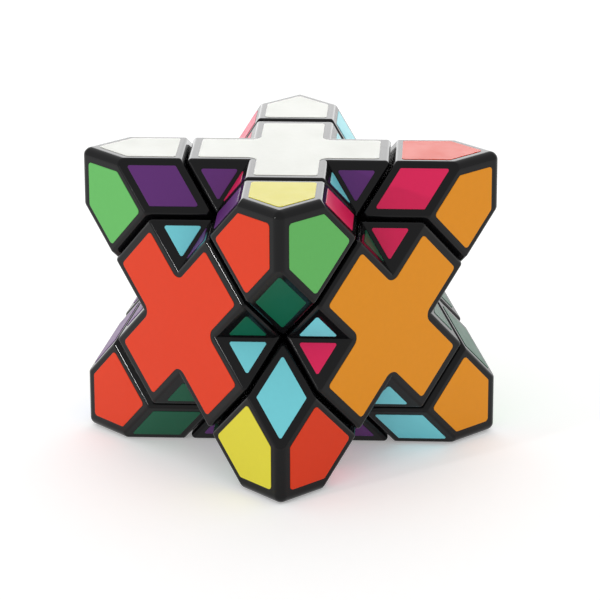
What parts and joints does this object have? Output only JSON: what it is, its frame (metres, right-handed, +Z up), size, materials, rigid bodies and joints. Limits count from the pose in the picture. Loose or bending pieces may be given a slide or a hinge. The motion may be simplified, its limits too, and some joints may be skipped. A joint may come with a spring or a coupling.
{
  "type": "corner-turning twisty puzzle",
  "caption": "Glossy black corner-turning twisty puzzle, a cube with a V groove across the middle of each edge, with coloured labels.",
  "frame": {"origin": "centre of the puzzle, where its four turning axes cross", "axes": "+Z up through the top face's X, -Y the front face, +X the right face; the turning axes run along the body diagonals"},
  "size_m": [0.064, 0.064, 0.064],
  "materials": {
    "black_plastic": "glossy moulded black",
    "inner_plastic": "plain moulded black",
    "core_plastic": "plain moulded white",
    "steel": "zinc plated",
    "label_white": "satin vinyl",
    "label_red": "satin vinyl",
    "label_orange": "satin vinyl",
    "label_yellow": "satin vinyl",
    "label_green": "satin vinyl",
    "label_blue": "satin vinyl",
    "label_dark_green": "satin vinyl",
    "label_cyan": "satin vinyl",
    "label_purple": "satin vinyl",
    "label_magenta": "satin vinyl"
  },
  "bodies": {
    "core": {"core_spider": "core_plastic", "axle_screws": "steel", "spring_washers": "steel", "axle_springs": "steel"},
    "centre_top": {"centre_shell_top": "black_plastic", "centre_base_top": "inner_plastic", "centre_face_label_top": "label_white", "centre_groove_labels_top": "label_cyan"},
    "centre_bottom": {"centre_shell_bottom": "black_plastic", "centre_base_bottom": "inner_plastic", "centre_face_label_bottom": "label_blue", "centre_groove_labels_bottom": "label_cyan"},
    "centre_front": {"centre_shell_front": "black_plastic", "centre_base_front": "inner_plastic", "centre_face_label_front": "label_red", "centre_groove_labels_front": "label_cyan"},
    "centre_rear": {"centre_shell_rear": "black_plastic", "centre_base_rear": "inner_plastic", "centre_face_label_rear": "label_green", "centre_groove_labels_rear": "label_cyan"},
    "centre_right": {"centre_shell_right": "black_plastic", "centre_base_right": "inner_plastic", "centre_face_label_right": "label_orange", "centre_groove_labels_right": "label_cyan"},
    "centre_left": {"centre_shell_left": "black_plastic", "centre_base_left": "inner_plastic", "centre_face_label_left": "label_yellow", "centre_groove_labels_left": "label_cyan"},
    "corner_top_front_right": {"corner_shell_top_front_right": "black_plastic", "corner_base_top_front_right": "inner_plastic", "corner_face_labels_top_front_right": "label_yellow", "corner_groove_labels_top_front_right": "label_magenta"},
    "corner_top_rear_left": {"corner_shell_top_rear_left": "black_plastic", "corner_base_top_rear_left": "inner_plastic", "corner_face_labels_top_rear_left": "label_white", "corner_groove_labels_top_rear_left": "label_magenta"},
    "corner_bottom_rear_right": {"corner_shell_bottom_rear_right": "black_plastic", "corner_base_bottom_rear_right": "inner_plastic", "corner_face_labels_bottom_rear_right": "label_orange", "corner_groove_labels_bottom_rear_right": "label_cyan"},
    "corner_bottom_front_left": {"corner_shell_bottom_front_left": "black_plastic", "corner_base_bottom_front_left": "inner_plastic", "corner_face_labels_bottom_front_left": "label_red", "corner_groove_labels_bottom_front_left": "label_dark_green"},
    "corner_top_rear_right": {"corner_shell_top_rear_right": "black_plastic", "corner_base_top_rear_right": "inner_plastic", "corner_face_labels_top_rear_right": "label_orange", "corner_groove_labels_top_rear_right": "label_magenta"},
    "corner_top_front_left": {"corner_shell_top_front_left": "black_plastic", "corner_base_top_front_left": "inner_plastic", "corner_face_labels_top_front_left": "label_white", "corner_groove_labels_top_front_left": "label_purple"},
    "corner_bottom_front_right": {"corner_shell_bottom_front_right": "black_plastic", "corner_base_bottom_front_right": "inner_plastic", "corner_face_labels_bottom_front_right": "label_yellow", "corner_groove_labels_bottom_front_right": "label_cyan"},
    "corner_bottom_rear_left": {"corner_shell_bottom_rear_left": "black_plastic", "corner_base_bottom_rear_left": "inner_plastic", "corner_face_labels_bottom_rear_left": "label_blue", "corner_groove_labels_bottom_rear_left": "label_purple"}
  },
  "joints": [
    {"name": "twist_top_front_right", "type": "hinge", "parent": "core", "child": "corner_top_front_right", "pos_m": [0, 0, 0], "axis": [0.5774, -0.5774, 0.5774], "continuous": true},
    {"name": "twist_top_rear_left", "type": "hinge", "parent": "core", "child": "corner_top_rear_left", "pos_m": [0, 0, 0], "axis": [-0.5774, 0.5774, 0.5774], "range_deg": [-360, 360]},
    {"name": "twist_bottom_rear_right", "type": "hinge", "parent": "core", "child": "corner_bottom_rear_right", "pos_m": [0, 0, 0], "axis": [0.5774, 0.5774, -0.5774], "range_deg": [-360, 360]},
    {"name": "twist_bottom_front_left", "type": "hinge", "parent": "core", "child": "corner_bottom_front_left", "pos_m": [0, 0, 0], "axis": [-0.5774, -0.5774, -0.5774], "range_deg": [-360, 360]},
    {"name": "centre_top_on_top_rear_left_cut", "type": "hinge", "parent": "corner_top_front_right", "child": "centre_top", "pos_m": [0, 0, 0], "axis": [-0.5774, 0.5774, 0.5774], "range_deg": [-360, 360]},
    {"name": "centre_bottom_on_bottom_front_left_cut", "type": "hinge", "parent": "corner_bottom_rear_right", "child": "centre_bottom", "pos_m": [0, 0, 0], "axis": [-0.5774, -0.5774, -0.5774], "range_deg": [-360, 360]},
    {"name": "centre_front_on_bottom_front_left_cut", "type": "hinge", "parent": "corner_top_front_right", "child": "centre_front", "pos_m": [0, 0, 0], "axis": [-0.5774, -0.5774, -0.5774], "range_deg": [-360, 360]},
    {"name": "centre_rear_on_bottom_rear_right_cut", "type": "hinge", "parent": "corner_top_rear_left", "child": "centre_rear", "pos_m": [0, 0, 0], "axis": [0.5774, 0.5774, -0.5774], "range_deg": [-360, 360]},
    {"name": "centre_right_on_bottom_rear_right_cut", "type": "hinge", "parent": "corner_top_front_right", "child": "centre_right", "pos_m": [0, 0, 0], "axis": [0.5774, 0.5774, -0.5774], "range_deg": [-360, 360]},
    {"name": "centre_left_on_bottom_front_left_cut", "type": "hinge", "parent": "corner_top_rear_left", "child": "centre_left", "pos_m": [0, 0, 0], "axis": [-0.5774, -0.5774, -0.5774], "range_deg": [-360, 360]},
    {"name": "corner_top_rear_right_on_bottom_rear_right_cut", "type": "hinge", "parent": "centre_top", "child": "corner_top_rear_right", "pos_m": [0, 0, 0], "axis": [0.5774, 0.5774, -0.5774], "range_deg": [-360, 360]},
    {"name": "corner_top_front_left_on_bottom_front_left_cut", "type": "hinge", "parent": "centre_top", "child": "corner_top_front_left", "pos_m": [0, 0, 0], "axis": [-0.5774, -0.5774, -0.5774], "range_deg": [-360, 360]},
    {"name": "corner_bottom_front_right_on_bottom_front_left_cut", "type": "hinge", "parent": "centre_right", "child": "corner_bottom_front_right", "pos_m": [0, 0, 0], "axis": [-0.5774, -0.5774, -0.5774], "range_deg": [-360, 360]},
    {"name": "corner_bottom_rear_left_on_bottom_front_left_cut", "type": "hinge", "parent": "centre_rear", "child": "corner_bottom_rear_left", "pos_m": [0, 0, 0], "axis": [-0.5774, -0.5774, -0.5774], "range_deg": [-360, 360]}
  ],
  "couplings": [
    {"joint": "centre_top_on_top_rear_left_cut", "follows": "twist_top_rear_left", "ratio": 1},
    {"joint": "centre_bottom_on_bottom_front_left_cut", "follows": "twist_bottom_front_left", "ratio": 1},
    {"joint": "centre_front_on_bottom_front_left_cut", "follows": "twist_bottom_front_left", "ratio": 1},
    {"joint": "centre_rear_on_bottom_rear_right_cut", "follows": "twist_bottom_rear_right", "ratio": 1},
    {"joint": "centre_right_on_bottom_rear_right_cut", "follows": "twist_bottom_rear_right", "ratio": 1},
    {"joint": "centre_left_on_bottom_front_left_cut", "follows": "twist_bottom_front_left", "ratio": 1},
    {"joint": "corner_top_rear_right_on_bottom_rear_right_cut", "follows": "twist_bottom_rear_right", "ratio": 1},
    {"joint": "corner_top_front_left_on_bottom_front_left_cut", "follows": "twist_bottom_front_left", "ratio": 1},
    {"joint": "corner_bottom_front_right_on_bottom_front_left_cut", "follows": "twist_bottom_front_left", "ratio": 1},
    {"joint": "corner_bottom_rear_left_on_bottom_front_left_cut", "follows": "twist_bottom_front_left", "ratio": 1}
  ]
}
